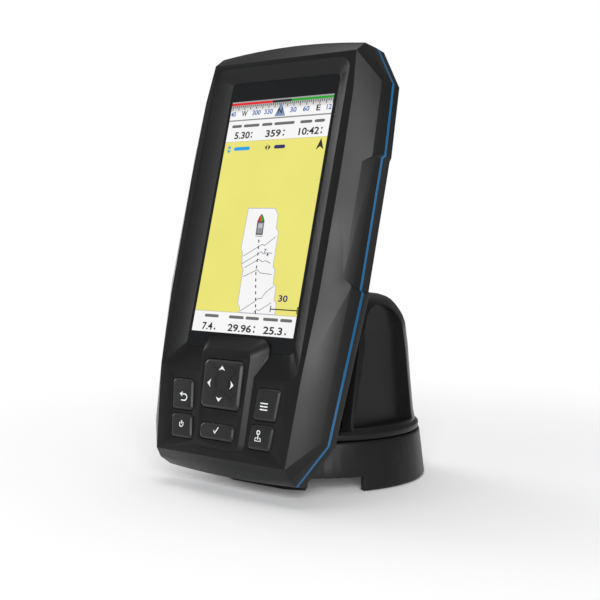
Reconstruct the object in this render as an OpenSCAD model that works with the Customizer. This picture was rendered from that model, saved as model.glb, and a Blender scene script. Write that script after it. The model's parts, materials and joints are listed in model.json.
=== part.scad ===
// Chartplotter head unit on a tilt and swivel pedestal.
// The mount stands on z = 0 with the swivel axis on Z; the user sits on the -Y side.
// Head pieces are drawn in the head's own frame: x right, y into the unit, z up its face.

/* [Head] */
// Half width of the head at its widest, level with the accent band
head_half_w = 49.1; // [48:0.1:50]
// Lean of the head at rest, in degrees
head_lean = 14.7; // [10:0.1:18]
// Height of the screen centre above the mounting surface
screen_z = 105.8; // [104:0.1:112]
// Distance of the screen centre in front of the swivel axis
screen_y = -34; // [-40:0.1:-33]
// Depth of the housing behind the accent band, up to the flat back
rear_depth = 18.2; // [17:0.1:18.6]

/* [Screen] */
// Width of the lit picture
screen_w = 53.6; // [50:0.1:54]
// Height of the lit picture
screen_h = 95; // [90:0.5:96]
// Width of the cover lens
lens_w = 56.6; // [56:0.1:58]

/* [Keys] */
// Slope of the keypad below the face, in degrees
keypad_slope = 5; // [3:0.5:6]
// How far a key is pressed in
key_travel = 0.8; // [0.5:0.1:0.9]
// Gap round each key
key_gap = 0.35; // [0.3:0.05:0.4]
// Height of the four-way pad above its raised panel
pad_rise = 1.2; // [0.8:0.1:1.4]

/* [Pedestal] */
// Height of the pedestal above the mounting surface
pedestal_z = 74; // [72:0.5:75]
// Height of the tilt axis
tilt_z = 58; // [57:0.5:59]
// Radius of the tilt pin
tilt_pin_r = 2.5; // [2:0.1:2.8]

/* [Base] */
// Radius of the base at the mounting surface
base_r = 44; // [43:0.5:45]
// Height of the base ring
base_h = 18.9; // [18.5:0.1:19]
// Radius of the four mounting holes
mount_hole_r = 2.25; // [2:0.05:2.6]
// Diameter of the circle that the mounting holes lie on
mount_pcd = 64; // [62:0.5:66]

/* [Hidden] */

$fn = 96;
cut = 0.02;
shell = "#303133";
soft_black = "#262729";
steel = "#b9bcc0";
brass = "#c9a24a";
board_green = "#1f5c3a";

// Depths in the head's frame
face_y = -4;
top_edge_y = 0;
edge_y = 3;
low_edge_y = 4.4;
band_y = 7.4;
cover_y = 8.8;
flange_y = 13;
back_y = cover_y + rear_depth;
lens_y = -0.4;
lens_t = 1.5;

// Right-hand side of each outline, as [x, z] from the top corner down to the bottom corner
face_side = [[37, 62.6], [38.7, 47], [39.2, 16], [38.7, -33], [37, -62]];
top_edge = [37.3, 66.9];
edge_side = [[45.9, 52.2], [47.1, 24.2], [47.2, -27]];
low_edge = [43.1, -84.4];
cavity_side = [[34.5, 62], [42, 49.5], [43.4, 23], [43.4, -26], [38.6, -82], [31, -95]];
band_side = [[37.4, 67.4], [47.5, 52.5], [head_half_w, 24.7], [head_half_w, -27.6],
    [44.9, -84.4], [33.4, -100.8]];
chin_half = 33.9;
chin_z = -95.4;
lip_y = 2.5;
lip_half = 34.4;
lip_z = -98.7;

// Keypad frame: its origin is where the face starts to slope
keys_z = -62;
chin_y = face_y + (keys_z - chin_z) * tan(keypad_slope);
wall_t = 3;
panel_rise = 1.8;
pad_z = -5.65;
pad_half = [10.4, 9.6];
flange_front = wall_t + 0.05;
flange_t = 0.8;
mat_front = 5.2;
bump_h = 0.25;
mat_t = 0.8;
dome_t = 0.4;
key_board_t = 1.2;
rock_y = 1.1;
tip_y = 4.6;
rib_r = 1.2;
rib_fit = 0.05;
key_rise = 0.9;

// Outlines of the openings, as corner points in the keypad frame
select_corners = [[9.1, -20.4], [9.1, -27], [-9.1, -27], [-9.1, -20.4]];
function side_key(top, bottom) = [[inner_x(top), top], [outer_x(top), top],
    [outer_x(bottom), bottom], [inner_x(bottom), bottom]];
function inner_x(z) = 16.9 + (z + 5) * 0.108;
function outer_x(z) = 28.7 + (z + 5) * 0.103;
upper_key = side_key(-5, -17.4);
lower_key = side_key(-18.6, -28.3);

// Tilt axis, in the model's frame and in the head's frame
tilt_y = -8;
lean_c = cos(head_lean);
lean_s = sin(head_lean);
tilt_head_y = lean_c * (tilt_y - screen_y) - lean_s * (tilt_z - screen_z);
tilt_head_z = lean_s * (tilt_y - screen_y) + lean_c * (tilt_z - screen_z);

// Screw places, as [x, z] in the head's frame
housing_screw_places = [[38.2, 53.5], [41.2, -8], [26, -95]];
board_screw_places = [[28.3, 42], [28.3, -50]];
bracket_screw_places = [[16, -36.5], [16, -51]];

// Base and pedestal
deck_z = base_h + 0.4;
floor_z = deck_z + 4.2;
post_r = 10;
post_top = floor_z + 0.1;
shoulder_r = 20;
washer_t = 0.55;
boss_x = 25;
bore_end_x = 29.2;
pin_half = 28.8;
panel_x = 32;
panel_lean = 2.5;

// ---------- shared shapes ----------

// A circle's arc as points, for outlines
function arc_points(c, r, from, to, steps) =
    [for (i = [0 : steps]) let (a = from + (to - from) * i / steps) c + r * [cos(a), sin(a)]];

// Corner points replaced by fillets of radius r
function unit(v) = v / norm(v);
function round_corners(p, r, steps = 5) = [for (i = [0 : len(p) - 1])
    let (
        here = p[i],
        to_prev = unit(p[(i + len(p) - 1) % len(p)] - here),
        to_next = unit(p[(i + 1) % len(p)] - here),
        half = acos(to_prev * to_next) / 2,
        start = here + to_prev * r / tan(half),
        centre = here + unit(to_prev + to_next) * r / sin(half),
        a0 = atan2((start - centre)[1], (start - centre)[0]),
        end = here + to_next * r / tan(half),
        a1 = atan2((end - centre)[1], (end - centre)[0]),
        turn = (a1 - a0 + 540) % 360 - 180
    )
    for (k = [0 : steps]) centre + r * [cos(a0 + turn * k / steps), sin(a0 + turn * k / steps)]];

function rect(half_x, top, bottom) =
    [[half_x, top], [half_x, bottom], [-half_x, bottom], [-half_x, top]];
function mirrored(p) = [for (i = [len(p) - 1 : -1 : 0]) [-p[i][0], p[i][1]]];
function inset_side(p, d) = [for (q = p) [q[0] - d, q[1] - d * sign(q[1]) * (abs(q[1]) > 60 ? 1 : 0)]];

// A crowned edge between two mirrored corners, corners left out
function crown(corner, bow, steps = 12) = [for (i = [1 : steps - 1])
    let (x = corner[0] * (1 - 2 * i / steps)) [x, corner[1] + bow * (1 - pow(x / corner[0], 2))]];

// Closed outline from its right-hand side, with crowned top and bottom
function outline(side, top_bow, bottom_bow) =
    concat(side, crown(side[len(side) - 1], -bottom_bow), mirrored(side),
        [for (p = crown(side[0], top_bow)) [-p[0], p[1]]]);

module head() {
    translate([0, screen_y, screen_z]) rotate([-head_lean, 0, 0]) children();
}

module keypad() {
    head() translate([0, face_y, keys_z]) rotate([keypad_slope, 0, 0]) children();
}

// A slab of the head between two depths, from a 2D child in x and z
module slab(y0, y1) {
    translate([0, y1, 0]) rotate([90, 0, 0]) linear_extrude(y1 - y0) children();
}

// A round bar along the depth of the head
module bar(r, y0, y1) {
    translate([0, y0, 0]) rotate([-90, 0, 0]) cylinder(r = r, h = y1 - y0);
}

// Copies of a child at mirrored places
module at_places(places) {
    for (p = places, side = [-1, 1]) translate([side * p[0], 0, p[1]]) children();
}

// The finger grip on each side, cut alike into bezel, band and cover
module grip_cuts() {
    for (side = [0, 1]) mirror([side, 0, 0]) intersection() {
        translate([0, 0, -30]) linear_extrude(60)
            polygon([[44.6, 0.8], [47.4, 4.2], [47.9, band_y], [47.9, 20], [60, 20], [60, 0.8]]);
        slab(-2, 22) polygon([[44.5, -23.1], [44.5, 20.4], [head_half_w + 0.1, 24.8],
            [61, 24.8], [61, -27.6], [head_half_w + 0.1, -27.6]]);
    }
}

module outline_hole(offset_in) {
    polygon(outline(inset_side(band_side, offset_in), 2.4, 1.2));
}

// ---------- head housing ----------

module bezel_body() {
    hull() {
        slab(face_y, face_y + cut) polygon(concat(face_side, mirrored(face_side)));
        slab(chin_y, chin_y + cut)
            polygon([[chin_half, chin_z + 0.1], [chin_half, chin_z],
                [-chin_half, chin_z], [-chin_half, chin_z + 0.1]]);
        slab(top_edge_y, top_edge_y + cut) polygon(outline([top_edge, top_edge - [0, 0.1]], 2.2, 0));
        slab(edge_y, edge_y + cut) polygon(concat(edge_side, mirrored(edge_side)));
        slab(low_edge_y, low_edge_y + cut) polygon(rect(low_edge[0], low_edge[1] + 0.1, low_edge[1]));
        slab(lip_y, lip_y + cut) polygon(rect(lip_half, lip_z + 0.1, lip_z));
        slab(band_y - cut, band_y) outline_hole(0);
    }
}

// Raised panel that carries the pad and the select key
module key_panel() {
    keypad_part() hull() {
        slab(-panel_rise, -panel_rise + cut)
            polygon(round_corners([[12.9, 7.8], [11.3, -30], [-11.3, -30], [-12.9, 7.8]], 3));
        slab(3.4, 4)
            polygon(round_corners([[17.2, 13], [15.4, -31.4], [-15.4, -31.4], [-17.2, 13]], 4.5));
    }
}

// The keypad frame inside head(), for pieces already drawn in the head's frame
module keypad_part() {
    translate([0, face_y, keys_z]) rotate([keypad_slope, 0, 0]) children();
}

module key_openings() {
    slab(-5, 6) polygon(round_corners(rect(pad_half[0], pad_z + pad_half[1], pad_z - pad_half[1]), 2.2));
    slab(-5, 6) polygon(round_corners(select_corners, 1.8));
    for (side = [0, 1], key = [upper_key, lower_key])
        mirror([side, 0, 0]) slab(-5, 6) polygon(round_corners(key, 1.4));
}

module front_bezel() color(shell) head() difference() {
    union() {
        difference() {
            bezel_body();
            hull() {
                slab(face_y - cut, face_y)
                    polygon(round_corners(rect(35, 60.5, -64), 5));
                slab(lens_y - cut, lens_y)
                    polygon(round_corners(rect(lens_w / 2, 55.4, -53.7), 2));
            }
            slab(2.6, band_y + cut) polygon(outline(cavity_side, 1.6, 0.4));
        }
        key_panel();
        at_places(housing_screw_places) bar(2.6, 2.8, band_y);
    }
    // Seat and window for the cover lens
    slab(lens_y, lens_y + lens_t + 0.2) polygon(round_corners(rect(lens_w / 2, 55.4, -53.7), 2));
    translate([-screen_w / 2 - 0.5, 0, -screen_h / 2 - 0.8])
        cube([screen_w + 1, 5, screen_h + 1.6]);
    keypad_part() {
        key_openings();
        slab(wall_t, 9) polygon(rect(31, 5, -30.7));
    }
    at_places(housing_screw_places) bar(1.1, 2.4, band_y + cut);
    grip_cuts();
}

module accent_band() color("#10659a") head() difference() {
    slab(band_y, cover_y) outline_hole(0);
    slab(band_y - cut, cover_y + cut) outline_hole(2.2);
    grip_cuts();
}

module housing_seal() color("#1a1a1a") head() difference() {
    slab(band_y, cover_y) outline_hole(2.25);
    slab(band_y - cut, cover_y + cut) outline_hole(3.4);
}

// Outline of the rear hump at a given depth
module hump(y0, y1, half_x, top, bottom, r) {
    slab(y0, y1) polygon(round_corners([[half_x, top], [half_x * 1.06, 0], [half_x, bottom],
        [-half_x, bottom], [-half_x * 1.06, 0], [-half_x, top]], r));
}

module rear_cover() color(shell) head() difference() {
    union() {
        hull() {
            slab(cover_y, flange_y - 1) outline_hole(0);
            slab(flange_y, flange_y + cut) outline_hole(1.4);
        }
        hull() {
            hump(flange_y - 1, flange_y, 41, 60, -76, 12);
            hump(back_y - 1.2, back_y - 1.2 + cut, 31, 46, -57, 9);
            hump(back_y - cut, back_y, 29.6, 44.6, -55.8, 8);
        }
        translate([0, 0, 14]) bar(13, back_y - 5, back_y + 0.8);
    }
    hull() {
        hump(cover_y - cut, cover_y, 35, 51, -72, 8);
        hump(back_y - 3, back_y - 2.6, 27, 42, -53, 7);
    }
    // Housing screws, with their heads below the surface
    at_places(housing_screw_places) {
        bar(1.6, cover_y - cut, 40);
        bar(3.1, flange_y - 1.9, 40);
    }
    at_places(bracket_screw_places) bar(1.1, back_y - 2.8, back_y + cut);
    translate([0, 0, 14]) {
        bar(8.2, back_y - 5, back_y + 2);
        bar(9.6, back_y - 1.6, back_y + 2);
    }
    translate([-20, 0, 30]) bar(3, back_y - 3, back_y + cut);
    // Slot that the release latch hooks into
    translate([-5.2, back_y - 1.6, -57]) cube([10.4, 3, 3.6]);
    grip_cuts();
}

module lens_frame(y0, y1, grow, inner_w, inner_top, inner_bottom) {
    difference() {
        slab(y0, y1) polygon(round_corners(rect(lens_w / 2 + grow, 55.4 + grow, -53.7 - grow), 1.9));
        if (inner_w > 0)
            slab(y0 - cut, y1 + cut) polygon(rect(inner_w / 2, inner_top, inner_bottom));
    }
}

module cover_lens() color("#101214") head()
    lens_frame(lens_y, lens_y + lens_t, -0.1, 0, 0, 0);

module lens_adhesive() color("#333333") head()
    lens_frame(lens_y + lens_t, lens_y + lens_t + 0.2, -0.15, screen_w + 1, 48.3, -48.3);

lcd_y = lens_y + lens_t;
module lcd_panel() color("#24303a") head()
    translate([-27.1, lcd_y, -48.1]) cube([54.2, 2, 96.2]);

light_y = lcd_y + 2;
module backlight() color("#e8e8e4") head()
    translate([-28.6, light_y, -49.6]) cube([57.2, 2.6, 99.2]);

module display_tray() color(steel) head() difference() {
    translate([-29.4, light_y, -50.4]) cube([58.8, 3.2, 100.8]);
    translate([-28.6, light_y - cut, -49.6]) cube([57.2, 2.6 + cut, 99.2]);
    for (x = [-18, 0, 18], z = [-34, 34]) translate([x, 0, z]) bar(5, light_y, 9);
}

board_y = 11;
board_t = 1.6;
module display_ribbon() color("#b5762a") head() {
    translate([-9, light_y + 3.2, -49]) cube([18, 0.25, 12]);
    translate([-9, light_y + 3.2, -49]) cube([18, board_y - light_y - 3.2, 0.25]);
}

module main_board() color(board_green) head() difference() {
    slab(board_y, board_y + board_t)
        polygon(round_corners(rect(31.5, 46, -58), 4));
    at_places(board_screw_places) bar(1.6, board_y - cut, board_y + board_t + cut);
    translate([0, 0, 14]) bar(9.4, board_y - cut, board_y + board_t + cut);
}

module board_screws() color(steel) head() at_places(board_screw_places) {
    bar(1.55, board_y, board_y + board_t);
    difference() {
        bar(2.8, board_y - 1.6, board_y);
        bar(1.1, board_y - 1.6 - cut, board_y - 0.8);
    }
}

chip_y = board_y + board_t;
module shield_can() color(steel) head() difference() {
    translate([-28, chip_y, -44]) cube([26, 4, 32]);
    translate([-27.4, chip_y - cut, -43.4]) cube([24.8, 3.4, 30.8]);
}

module processor() color("#202124") head()
    translate([-23, chip_y, -36]) cube([16, 1.4, 16]);

module gps_antenna() color("#cfc8b4") head()
    translate([-9, chip_y, 24.4]) cube([18, 4.5, 18]);

module sounder() color("#17181a") head() translate([23, 0, 36]) difference() {
    bar(6, chip_y, chip_y + 4.5);
    bar(1.2, chip_y + 3, chip_y + 5);
}

module sonar_transformer() color("#5b4632") head() {
    translate([8, chip_y, -40]) cube([17, 2, 15]);
    translate([10.5, chip_y + 2, -40]) cube([12, 6.5, 15]);
}

// ---------- keys ----------

module keypad_board() color(board_green) keypad()
    slab(mat_front + mat_t + dome_t, mat_front + mat_t + dome_t + key_board_t)
        polygon(rect(30, 3.5, -30.4));

function key_centre(corners) = (corners[0] + corners[1] + corners[2] + corners[3]) / 4;
dome_places = concat([key_centre(select_corners)],
    [for (s = [-1, 1], key = [upper_key, lower_key]) [s * key_centre(key)[0], key_centre(key)[1]]],
    [for (a = [0 : 90 : 270]) [7 * cos(a), pad_z + 6.5 * sin(a)]]);

module key_domes() color(steel) keypad() for (p = dome_places)
    translate([p[0], 0, p[1]]) bar(2.4, mat_front + mat_t, mat_front + mat_t + dome_t);

module keypad_mat() color("#3a3b3d") keypad() difference() {
    union() {
        slab(mat_front, mat_front + mat_t) polygon(rect(30, 3.5, -30.4));
        for (i = [0 : 4]) translate([dome_places[i][0], 0, dome_places[i][1]])
            bar(2, mat_front - bump_h, mat_front + cut);
        translate([-4, tip_y, pad_z - 2]) cube([8, mat_front - tip_y + 0.2, 4]);
    }
    translate([-10, tip_y, pad_z]) rotate([0, 90, 0]) cylinder(r = rib_r + rib_fit, h = 20);
}

// A key cap: bevelled top, straight stem, and a flange behind the wall
module key_cap(corners, r, top, bevel) {
    c = key_centre(corners);
    grown = [for (p = corners) p + [sign((p - c)[0]), sign((p - c)[1])] * 0.45];
    cap = [for (p = corners) p - [sign((p - c)[0]), sign((p - c)[1])] * key_gap];
    crest = [for (p = cap) p - [sign((p - c)[0]), sign((p - c)[1])] * bevel];
    hull() {
        slab(top, top + cut) polygon(round_corners(crest, r));
        slab(top + bevel, flange_front) polygon(round_corners(cap, r));
    }
    slab(flange_front, flange_front + flange_t) polygon(grown);
}

module select_key() color(soft_black) keypad()
    key_cap(select_corners, 1.6, -panel_rise - key_rise, 0.7);
module menu_key() color(soft_black) keypad() key_cap(upper_key, 1.2, -key_rise, 0.7);
module mark_key() color(soft_black) keypad() key_cap(lower_key, 1.2, -key_rise, 0.7);
module back_key() color(soft_black) keypad()
    mirror([1, 0, 0]) key_cap(upper_key, 1.2, -key_rise, 0.7);
module power_key() color(soft_black) keypad()
    mirror([1, 0, 0]) key_cap(lower_key, 1.2, -key_rise, 0.7);

module four_way_pad() color(soft_black) keypad() difference() {
    union() {
        hull() {
            slab(-panel_rise - pad_rise, -panel_rise - pad_rise + cut)
                polygon(round_corners(rect(pad_half[0] - 1.3, pad_z + pad_half[1] - 1.35,
                    pad_z - pad_half[1] + 1.35), 1.8));
            slab(-panel_rise - pad_rise + 0.9, 0.6)
                polygon(round_corners(rect(pad_half[0] - 0.4, pad_z + pad_half[1] - 0.45,
                    pad_z - pad_half[1] + 0.45), 2));
        }
        translate([0, rock_y, pad_z - 5]) cylinder(r = rib_r, h = 10);
    }
}

// Rubber rocker under the pad: a groove for the pad on top, a rib across below
module pad_rocker() color("#3a3b3d") keypad() difference() {
    union() {
        slab(3.7, 4.4) polygon(rect(11.2, pad_z + 10.2, pad_z - 10.2));
        translate([0, 0, pad_z]) bar(3.6, rock_y + 0.05, 3.8);
        translate([-3.4, tip_y, pad_z]) rotate([0, 90, 0]) cylinder(r = rib_r, h = 6.8);
    }
    translate([0, rock_y, pad_z - 8]) cylinder(r = rib_r + rib_fit, h = 16);
}

// ---------- back of the head ----------

module power_socket() color("#1c1d1f") head() translate([0, 0, 14]) difference() {
    union() {
        bar(8.15, back_y - 5, back_y);
        bar(9.2, board_y, back_y - 5);
        bar(9.5, back_y - 1.6, back_y - 0.2);
    }
    bar(6.2, back_y - 9, back_y + cut);
    pin_places() bar(0.62, board_y - cut, back_y - 8.9);
    translate([-1.1, back_y - 9, 5]) cube([2.2, 12, 2.2]);
}

module pin_places() for (x = [-2.4, 2.4], z = [-2.4, 2.4]) translate([x, 0, z]) children();

module socket_pins() color(brass) head() translate([0, 0, 14])
    pin_places() bar(0.6, board_y - 1, back_y - 3);

module socket_seal() color("#1a1a1a") head() translate([0, back_y - 0.2, 14])
    rotate([-90, 0, 0]) rotate_extrude() translate([8.8, 0.56]) circle(r = 0.55, $fn = 24);

module vent_plug() color("#3c3d40") head() translate([-20, 0, 30]) {
    bar(2.95, back_y - 2.6, back_y + 0.1);
    bar(4, back_y + 0.1, back_y + 0.6);
}

module screw(r, head_r, from, shoulder, top, drive_r) {
    bar(r, from, shoulder);
    difference() {
        bar(head_r, shoulder, top);
        bar(drive_r, top - 1, top + cut);
    }
}

module housing_screws() color(steel) head() at_places(housing_screw_places)
    screw(1.1, 2.8, 2.6, flange_y - 1.9, flange_y - 0.3, 1.1);

// ---------- tilt hinge ----------

bracket_t = 3.4;
bracket_front = back_y + 0.05;
module hinge_bracket() color(shell) head() difference() {
    union() {
        rotate([90, 0, 90]) translate([0, 0, -21]) linear_extrude(42) polygon([
            [bracket_front, tilt_head_z + 7.4], [bracket_front + bracket_t, tilt_head_z + 7.4],
            [tilt_head_y, tilt_head_z + 5.6], [tilt_head_y, tilt_head_z - 5.6],
            [bracket_front + bracket_t, tilt_head_z - 14], [bracket_front, tilt_head_z - 14]]);
        translate([-23.6, tilt_head_y, tilt_head_z]) rotate([0, 90, 0]) cylinder(r = 6.2, h = 47.2);
    }
    translate([-30, tilt_head_y, tilt_head_z]) rotate([0, 90, 0]) cylinder(r = tilt_pin_r + 0.02, h = 60);
    at_places(bracket_screw_places) {
        bar(1.6, bracket_front - cut, 50);
        bar(3, bracket_front + 2, 50);
    }
    // Guide for the latch, open at the bottom
    translate([-7.2, bracket_front - cut, -60]) cube([14.4, 2.4, 14]);
}

module bracket_screws() color(steel) head() at_places(bracket_screw_places)
    screw(1.1, 2.8, back_y - 2.4, bracket_front + 2, bracket_front + 3.4, 1.1);

module hinge_pin() color(steel) head()
    translate([-pin_half, tilt_head_y, tilt_head_z]) rotate([0, 90, 0])
        cylinder(r = tilt_pin_r, h = 2 * pin_half);

module tilt_washers() color("#d8d8d2") head() for (side = [0, 1]) mirror([side, 0, 0])
    translate([23.65, tilt_head_y, tilt_head_z]) rotate([0, 90, 0]) difference() {
        cylinder(r = 6, h = 1.2);
        translate([0, 0, -cut]) cylinder(r = tilt_pin_r + 0.05, h = 2);
    }

// Latch: a plate with a hook towards the head and a finger lip below the bracket
latch_top = -47.6;
module release_latch() color("#1c1d1f") head() {
    translate([-6.9, back_y + 0.35, -58]) cube([13.8, 1.7, latch_top + 58]);
    translate([-4.6, back_y - 1.3, -56.6]) cube([9.2, 2, 1.6]);
    translate([-8.6, back_y + 0.35, -62.2]) cube([17.2, 1.7, 4.3]);
    translate([-8.6, back_y + 0.35, -62.2]) cube([17.2, 4.2, 1.5]);
}

module latch_spring() color(steel) head() for (x = [-3.6, 3.6])
    translate([x, back_y + 1.2, latch_top]) difference() {
        cylinder(r = 0.8, h = 1.55);
        translate([0, 0, -cut]) cylinder(r = 0.45, h = 2);
    }

// ---------- pedestal ----------

// Outer profile of the cone, as [radius, height]
cone_side = [[40.1, 22.6], [39.3, 26.5], [38.6, 34], [37.8, 43], [37.1, 52], [35.9, 62],
    [34.8, 65], [33.5, 67.2], [32, 69.3], [30.1, 71.3], [28.2, 72.5], [25.5, 73.4],
    [21, pedestal_z]];
hollow_side = [[37.4, floor_z], [36.2, 34], [35.4, 43], [34.5, 52], [33.4, 62], [31.6, 66.3],
    [29.6, 68.8], [27.4, 70.2], [20, pedestal_z - 2.6]];

function front_cut() = [[-60, 22.65], [-21.15, 22.65], [-13.4, 65], [-11.6, 68], [-8.6, 70.9],
    [-5, 72.6], [-1.6, pedestal_z + 1], [-60, pedestal_z + 1]];

function arch_points() = concat([[-19.8, 23.6], [-12.6, 56]],
    arc_points([0.3, 57.6], 12.9, 176, 0, 20), [[15.4, 23.6]]);

module side_panel(x, far) {
    translate([x, 0, 23.6]) rotate([0, -panel_lean, 0]) translate([0, 0, -23.6])
        rotate([90, 0, 90]) linear_extrude(far) children();
}

module pedestal() color(soft_black) difference() {
    union() {
        difference() {
            rotate_extrude() polygon(concat(
                [[0, deck_z], [41, deck_z], [41.4, deck_z + 0.4], [41.4, 21.5]],
                cone_side, [[0, pedestal_z]]));
            difference() {
                rotate_extrude() polygon(concat([[0, floor_z]], hollow_side,
                    [[0, pedestal_z - 2.6]]));
                for (side = [0, 1]) mirror([side, 0, 0])
                    side_panel(panel_x - 2.4, 20) polygon(rect(60, 90, 0));
            }
        }
        for (side = [0, 1]) mirror([side, 0, 0])
            translate([boss_x, tilt_y, tilt_z]) rotate([0, 90, 0]) cylinder(r = 6.4, h = 4.4);
        // Stop lug under the deck
        rotate([0, 0, -90]) translate([22.4, -1.5, 16.4]) cube([3.2, 3, deck_z - 16.3]);
    }
    translate([-50, 0, 0]) rotate([90, 0, 90]) linear_extrude(100) polygon(front_cut());
    for (side = [0, 1]) mirror([side, 0, 0]) {
        side_panel(panel_x, 12) polygon(arch_points());
        translate([boss_x - 1, tilt_y, tilt_z]) rotate([0, 90, 0])
            cylinder(r = tilt_pin_r + 0.05, h = bore_end_x - boss_x + 1);
    }
    translate([0, 0, deck_z - 1]) cylinder(r = post_r + 0.05, h = 8);
    // Way through the deck for a lead
    translate([-7, 24, deck_z - 1]) cube([14, 9, 8]);
}

module swivel_retainer() color(steel) translate([0, 0, post_top]) difference() {
    cylinder(r = 15, h = 1.5);
    translate([0, 0, -cut]) cylinder(r = 2.6, h = 2);
}

module swivel_screw() color(steel) difference() {
    union() {
        translate([0, 0, 8]) cylinder(r = 2.5, h = post_top + 1.5 - 8);
        translate([0, 0, post_top + 1.5]) cylinder(r = 4.6, h = 3);
    }
    translate([0, 0, post_top + 2.6]) cylinder(r = 2, h = 3, $fn = 6);
}

module swivel_washer() color("#d8d8d2") translate([0, 0, base_h - 0.2]) difference() {
    cylinder(r = shoulder_r - 0.5, h = washer_t);
    translate([0, 0, -cut]) cylinder(r = post_r + 0.3, h = 2);
}

// ---------- base ----------

swivel_limit = 90;
gap_from = -154;
gap_to = -26;
foot_from = -123;
foot_to = -57;
foot_y = -37;
plate_z = 5.6;
plate_top = 9;
skirt_in = 40.4;
pad_groove = [41, 42.5];
module mount_base() color(soft_black) difference() {
    union() {
        difference() {
            rotate_extrude() polygon([[skirt_in, 0], [base_r - 0.9, 0], [base_r - 0.25, 0.3],
                [base_r, 1], [41.9, base_h - 0.5], [41.4, base_h], [38.5, base_h],
                [38.5, plate_top], [shoulder_r, plate_top], [shoulder_r, base_h - 0.2],
                [post_r, base_h - 0.2], [post_r, post_top], [0, post_top], [0, plate_z],
                [skirt_in, plate_z]]);
            ring_sector(gap_from, gap_to, skirt_in - 1, base_r + 2, -1, plate_z);
        }
        // Feet that the mounting screws pull down on, and a wider foot in the front gap
        for (a = [0 : 90 : 270]) rotate([0, 0, a]) translate([mount_pcd / 2, 0, 0])
            cylinder(r = 6, h = plate_z + 1);
        ring_sector(foot_from, foot_to, 33, 39.4, 0, plate_z + 1);
        // Stops for the lug
        for (a = [swivel_limit + 9, -swivel_limit - 9]) rotate([0, 0, a - 90])
            translate([22, -1.5, plate_top - 0.1]) cube([4, 3, base_h - 1 - plate_top]);
    }
    translate([-30, foot_y - 20, -1]) cube([60, 20, plate_z + 1]);
    for (a = [0 : 90 : 270]) rotate([0, 0, a]) translate([mount_pcd / 2, 0, -1]) {
        cylinder(r = mount_hole_r, h = 8);
        translate([0, 0, 4.4]) cylinder(r = 4.3, h = 12);
    }
    translate([0, 0, 7.5]) cylinder(r = 2.5, h = 30);
    // Groove for the pad, and a hole for a lead that leaves through the gap
    ring_sector(gap_to + 4, gap_from + 356, pad_groove[0], pad_groove[1], -1, 1);
    rotate([0, 0, (foot_to + gap_to) / 2]) translate([29, 0, 0]) cylinder(r = 6, h = 12);
}

module ring_sector(from, to, r0, r1, z0, z1) {
    rotate([0, 0, from]) rotate_extrude(angle = to - from)
        polygon([[r0, z0], [r1, z0], [r1, z1], [r0, z1]]);
}

module base_pad() color("#1a1a1a")
    ring_sector(gap_to + 4.2, gap_from + 355.8, pad_groove[0] + 0.05, pad_groove[1] - 0.05, 0, 0.95);

front_bezel();
accent_band();
housing_seal();
rear_cover();
cover_lens();
lens_adhesive();
lcd_panel();
backlight();
display_tray();
display_ribbon();
main_board();
shield_can();
processor();
gps_antenna();
sounder();
sonar_transformer();
board_screws();
keypad_board();
key_domes();
keypad_mat();
pad_rocker();
four_way_pad();
select_key();
back_key();
power_key();
menu_key();
mark_key();
power_socket();
socket_pins();
socket_seal();
vent_plug();
housing_screws();
hinge_bracket();
bracket_screws();
hinge_pin();
tilt_washers();
release_latch();
latch_spring();
pedestal();
swivel_retainer();
swivel_screw();
swivel_washer();
mount_base();
base_pad();
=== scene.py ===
"""Marine chartplotter on its tilt and swivel pedestal, finished round the packed frame."""

import json
import math

import bmesh
import bpy
from mathutils import Matrix, Vector

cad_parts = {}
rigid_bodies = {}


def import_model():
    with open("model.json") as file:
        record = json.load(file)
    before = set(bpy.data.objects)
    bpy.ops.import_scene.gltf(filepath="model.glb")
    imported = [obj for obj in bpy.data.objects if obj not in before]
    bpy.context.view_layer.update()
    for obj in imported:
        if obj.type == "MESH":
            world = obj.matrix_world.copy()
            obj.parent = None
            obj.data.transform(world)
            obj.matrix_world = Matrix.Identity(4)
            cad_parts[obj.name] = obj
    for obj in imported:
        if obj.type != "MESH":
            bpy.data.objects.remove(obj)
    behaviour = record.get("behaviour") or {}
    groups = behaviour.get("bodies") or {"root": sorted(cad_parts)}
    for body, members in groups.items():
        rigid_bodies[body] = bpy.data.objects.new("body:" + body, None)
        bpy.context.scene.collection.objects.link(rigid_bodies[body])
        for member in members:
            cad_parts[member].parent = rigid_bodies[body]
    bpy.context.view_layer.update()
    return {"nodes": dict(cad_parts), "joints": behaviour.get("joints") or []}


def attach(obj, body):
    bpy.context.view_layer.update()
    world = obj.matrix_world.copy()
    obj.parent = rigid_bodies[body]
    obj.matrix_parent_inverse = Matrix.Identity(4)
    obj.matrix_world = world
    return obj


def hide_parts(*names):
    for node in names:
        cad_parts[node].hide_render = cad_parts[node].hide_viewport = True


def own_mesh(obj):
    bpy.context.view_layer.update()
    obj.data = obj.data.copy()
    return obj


bl_info = {
    "name": "Chartplotter display",
    "version": (1, 0, 0),
    "blender": (4, 5, 0),
    "location": "3D View > Sidebar > Chartplotter",
    "description": "Finishes a chartplotter head and its pedestal round the packed frame",
    "category": "Object",
}

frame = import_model()

MM = 0.001

# Head space and keypad space, in millimetres
LENS_FRONT = -0.4
LENS_MIDDLE = 0.85
KEYPAD_ORIGIN = (0, -4, -62)
PAD_TOP = -3.0
SELECT_TOP = -2.7
SIDE_KEY_TOP = -0.9
ARROW_SIZE = 3.2

# Printed and lit layers, in millimetres
PICTURE_LIFT = 0.02
LAYER_STEP = 0.008
LAYER_THICKNESS = 0.006
INK_LIFT = 0.03
INK_THICKNESS = 0.06
RIDGE_LIFT = 0.12
RIDGE_THICKNESS = 0.2


def joint(name):
    return next(j for j in frame["joints"] if j["name"] == name)


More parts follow.
